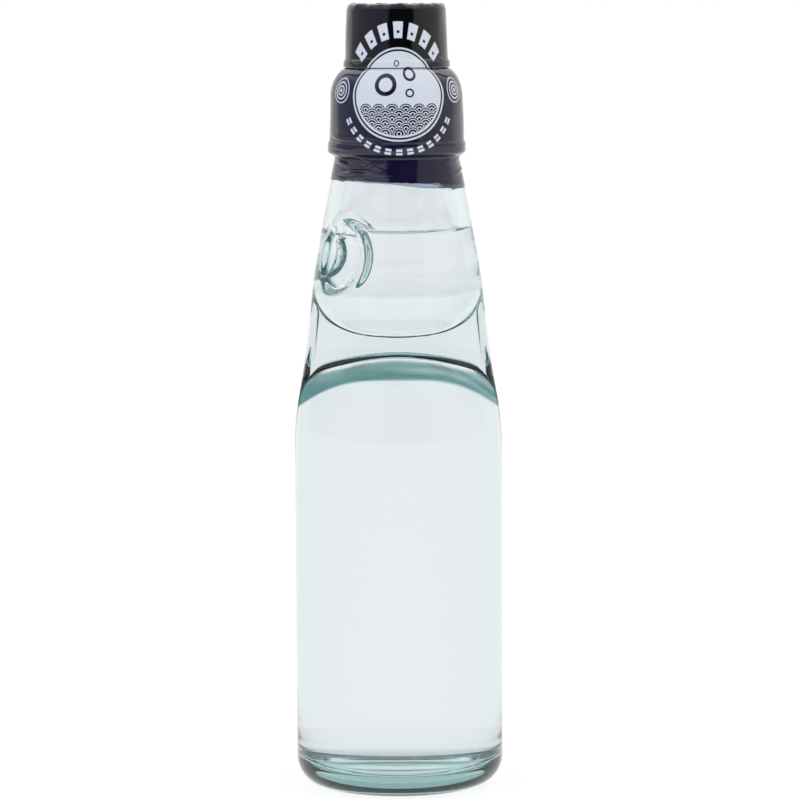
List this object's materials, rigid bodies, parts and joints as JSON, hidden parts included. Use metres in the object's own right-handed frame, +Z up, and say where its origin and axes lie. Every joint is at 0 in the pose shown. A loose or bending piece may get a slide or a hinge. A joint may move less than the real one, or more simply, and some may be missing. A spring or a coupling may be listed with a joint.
{
  "type": "marble stopper bottle",
  "caption": "Glass bottle with a pinched neck, a marble that gas pressure seals against a rubber ring, a press-on mouth cap and a push-down opener under dark shrink film.",
  "frame": {"origin": "centre of the foot ring, on the plane that the bottle stands on", "axes": "+Z up along the bottle's axis, the web of the pinch along X, its jaws facing -Y and +Y, the two marble catches on the -X side"},
  "size_m": [0.056, 0.056, 0.2116],
  "materials": {
    "bottle_glass": "clear, nearly colourless pressed glass with a faint aqua tint in thick places",
    "marble_glass": "polished clear glass ball",
    "cap_plastic": "moulded pale plastic",
    "gasket_rubber": "soft moulded rubber",
    "seal_liner": "soft foamed liner",
    "navy_film": "glossy printed shrink film, dark navy",
    "opener_plastic": "moulded light blue plastic"
  },
  "bodies": {
    "bottle": {"glass_bottle": "bottle_glass", "mouth_cap": "cap_plastic", "mouth_gasket": "gasket_rubber", "rim_seal": "seal_liner", "film_skirt": "navy_film"},
    "opener": {"opener_ring": "opener_plastic", "film_collar": "navy_film"},
    "plunger": {"opener_plunger": "opener_plastic"},
    "marble": {"marble": "marble_glass"}
  },
  "joints": [
    {"name": "opener_lift", "type": "slide", "parent": "bottle", "child": "opener", "axis": [0, 0, 1], "range_m": [0, 0.03]},
    {"name": "plunger_press", "type": "slide", "parent": "opener", "child": "plunger", "axis": [0, 0, 1], "range_m": [-0.006, 0]},
    {"name": "marble_drop", "type": "slide", "parent": "bottle", "child": "marble", "axis": [0, 0, 1], "range_m": [-0.0478, 0]}
  ],
  "couplings": [
    {"joint": "plunger_press", "follows": "marble_drop", "ratio": 0.1255}
  ]
}
